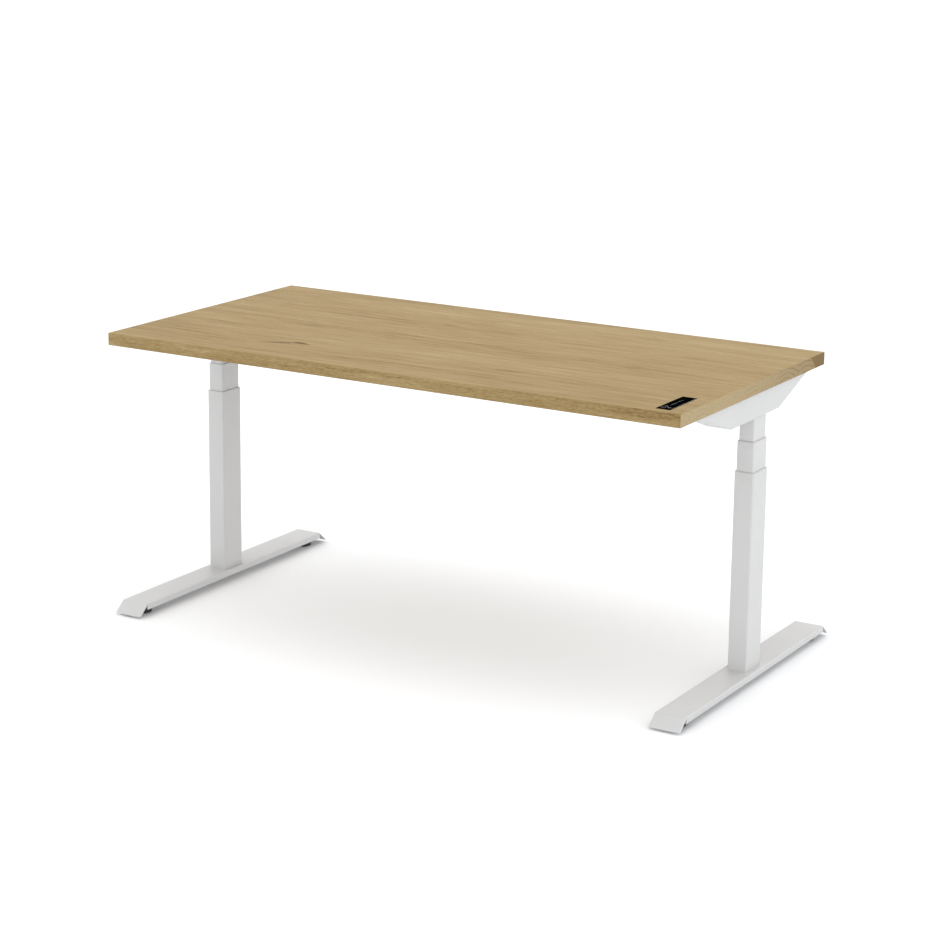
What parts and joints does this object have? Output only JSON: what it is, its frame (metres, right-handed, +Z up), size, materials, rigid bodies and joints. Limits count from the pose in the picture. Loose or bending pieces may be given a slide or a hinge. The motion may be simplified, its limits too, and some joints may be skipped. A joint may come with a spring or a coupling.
{
  "type": "height adjustable standing desk",
  "caption": "Electric sit-stand desk: rectangular oak top with a flush control panel, on white telescopic three-stage columns, T-shaped sheet feet and side brackets.",
  "frame": {"origin": "on the floor, under the middle of the whole desk", "axes": "+X to the user's right along the desk's length, +Y away from the user, +Z up"},
  "size_m": [1.624, 0.874, 0.7502],
  "materials": {
    "oak": "oiled",
    "white_steel": "satin powder coat",
    "zinc_steel": "zinc plated",
    "screw_steel": "rolled, greased",
    "dark_plastic": "moulded",
    "guide_plastic": "moulded",
    "glide_plastic": "moulded",
    "bronze": "machined",
    "gearbox_plastic": "glass-filled, moulded",
    "motor_can": "black",
    "box_plastic": "spark texture",
    "circuit_board": "solder mask",
    "inlet_plastic": "moulded",
    "panel_black": "polished",
    "lead_rubber": "sheath"
  },
  "bodies": {
    "left_base": {"foot_left": "white_steel", "foot_rail_left": "white_steel", "column_bolts_left": "zinc_steel", "outer_tube_left": "white_steel", "outer_guide_left": "guide_plastic", "fixed_screw_left": "screw_steel"},
    "left_middle": {"middle_tube_left": "white_steel", "middle_guide_left": "guide_plastic", "middle_foot_left": "dark_plastic", "screw_bearing_left": "screw_steel"},
    "left_hollow_screw": {"hollow_screw_left": "screw_steel"},
    "left_drive": {"drive_tube_left": "screw_steel", "worm_wheel_left": "bronze"},
    "left_worm": {"worm_shaft_left": "screw_steel"},
    "glide_front_left": {"glide_stud_front_left": "zinc_steel", "glide_pad_front_left": "glide_plastic"},
    "glide_back_left": {"glide_stud_back_left": "zinc_steel", "glide_pad_back_left": "glide_plastic"},
    "right_base": {"foot_right": "white_steel", "foot_rail_right": "white_steel", "column_bolts_right": "zinc_steel", "outer_tube_right": "white_steel", "outer_guide_right": "guide_plastic", "fixed_screw_right": "screw_steel"},
    "right_middle": {"middle_tube_right": "white_steel", "middle_guide_right": "guide_plastic", "middle_foot_right": "dark_plastic", "screw_bearing_right": "screw_steel"},
    "right_hollow_screw": {"hollow_screw_right": "screw_steel"},
    "right_drive": {"drive_tube_right": "screw_steel", "worm_wheel_right": "bronze"},
    "right_worm": {"worm_shaft_right": "screw_steel"},
    "glide_front_right": {"glide_stud_front_right": "zinc_steel", "glide_pad_front_right": "glide_plastic"},
    "glide_back_right": {"glide_stud_back_right": "zinc_steel", "glide_pad_back_right": "glide_plastic"},
    "upper_frame": {"control_board": "circuit_board", "control_box": "box_plastic", "control_box_lid": "box_plastic", "desktop": "oak", "frame_screws": "zinc_steel", "gearbox_covers": "gearbox_plastic", "gearbox_housings": "gearbox_plastic", "inner_tube_left": "white_steel", "inner_tube_plugs": "dark_plastic", "inner_tube_right": "white_steel", "lead_clips": "dark_plastic", "mains_inlet": "inlet_plastic", "motor_leads": "lead_rubber", "motor_left": "motor_can", "motor_right": "motor_can", "panel_glass": "panel_black", "panel_housing": "dark_plastic", "panel_lead": "lead_rubber", "rail_back": "white_steel", "rail_front": "white_steel", "side_bracket_left": "white_steel", "side_bracket_right": "white_steel", "top_screws": "zinc_steel", "upper_nuts": "bronze"}
  },
  "joints": [
    {"name": "left_lower_stage", "type": "slide", "parent": "left_base", "child": "left_middle", "axis": [0, 0, 1], "range_m": [-0.042, 0.283]},
    {"name": "left_upper_stage", "type": "slide", "parent": "left_middle", "child": "upper_frame", "axis": [0, 0, 1], "range_m": [-0.042, 0.283]},
    {"name": "right_upper_stage", "type": "slide", "parent": "upper_frame", "child": "right_middle", "axis": [0, 0, -1], "range_m": [-0.042, 0.283]},
    {"name": "right_lower_stage", "type": "slide", "parent": "right_middle", "child": "right_base", "axis": [0, 0, -1], "range_m": [-0.042, 0.283]},
    {"name": "left_hollow_screw_spin", "type": "hinge", "parent": "left_middle", "child": "left_hollow_screw", "pos_m": [-0.772, 0.01, 0.3], "axis": [0, 0, 1], "continuous": true},
    {"name": "left_drive_spin", "type": "hinge", "parent": "upper_frame", "child": "left_drive", "pos_m": [-0.772, 0.01, 0.683], "axis": [0, 0, 1], "continuous": true},
    {"name": "left_worm_spin", "type": "hinge", "parent": "upper_frame", "child": "left_worm", "pos_m": [-0.772, 0.0313, 0.683], "axis": [1, 0, 0], "continuous": true},
    {"name": "glide_front_left_adjust", "type": "slide", "parent": "left_base", "child": "glide_front_left", "axis": [0, 0, -1], "range_m": [0, 0.008]},
    {"name": "glide_back_left_adjust", "type": "slide", "parent": "left_base", "child": "glide_back_left", "axis": [0, 0, -1], "range_m": [0, 0.008]},
    {"name": "right_hollow_screw_spin", "type": "hinge", "parent": "right_middle", "child": "right_hollow_screw", "pos_m": [0.772, 0.01, 0.3], "axis": [0, 0, 1], "continuous": true},
    {"name": "right_drive_spin", "type": "hinge", "parent": "upper_frame", "child": "right_drive", "pos_m": [0.772, 0.01, 0.683], "axis": [0, 0, 1], "continuous": true},
    {"name": "right_worm_spin", "type": "hinge", "parent": "upper_frame", "child": "right_worm", "pos_m": [0.772, 0.0313, 0.683], "axis": [1, 0, 0], "continuous": true},
    {"name": "glide_front_right_adjust", "type": "slide", "parent": "right_base", "child": "glide_front_right", "axis": [0, 0, -1], "range_m": [0, 0.008]},
    {"name": "glide_back_right_adjust", "type": "slide", "parent": "right_base", "child": "glide_back_right", "axis": [0, 0, -1], "range_m": [0, 0.008]}
  ],
  "couplings": [
    {"joint": "left_upper_stage", "follows": "left_lower_stage", "ratio": 1},
    {"joint": "right_upper_stage", "follows": "left_lower_stage", "ratio": 1},
    {"joint": "right_lower_stage", "follows": "left_lower_stage", "ratio": 1},
    {"joint": "left_hollow_screw_spin", "follows": "left_lower_stage", "rad_per_m": 1256.6},
    {"joint": "left_drive_spin", "follows": "left_lower_stage", "rad_per_m": 1256.6},
    {"joint": "left_worm_spin", "follows": "left_lower_stage", "rad_per_m": 35186},
    {"joint": "right_hollow_screw_spin", "follows": "left_lower_stage", "rad_per_m": 1256.6},
    {"joint": "right_drive_spin", "follows": "left_lower_stage", "rad_per_m": 1256.6},
    {"joint": "right_worm_spin", "follows": "left_lower_stage", "rad_per_m": 35186}
  ]
}
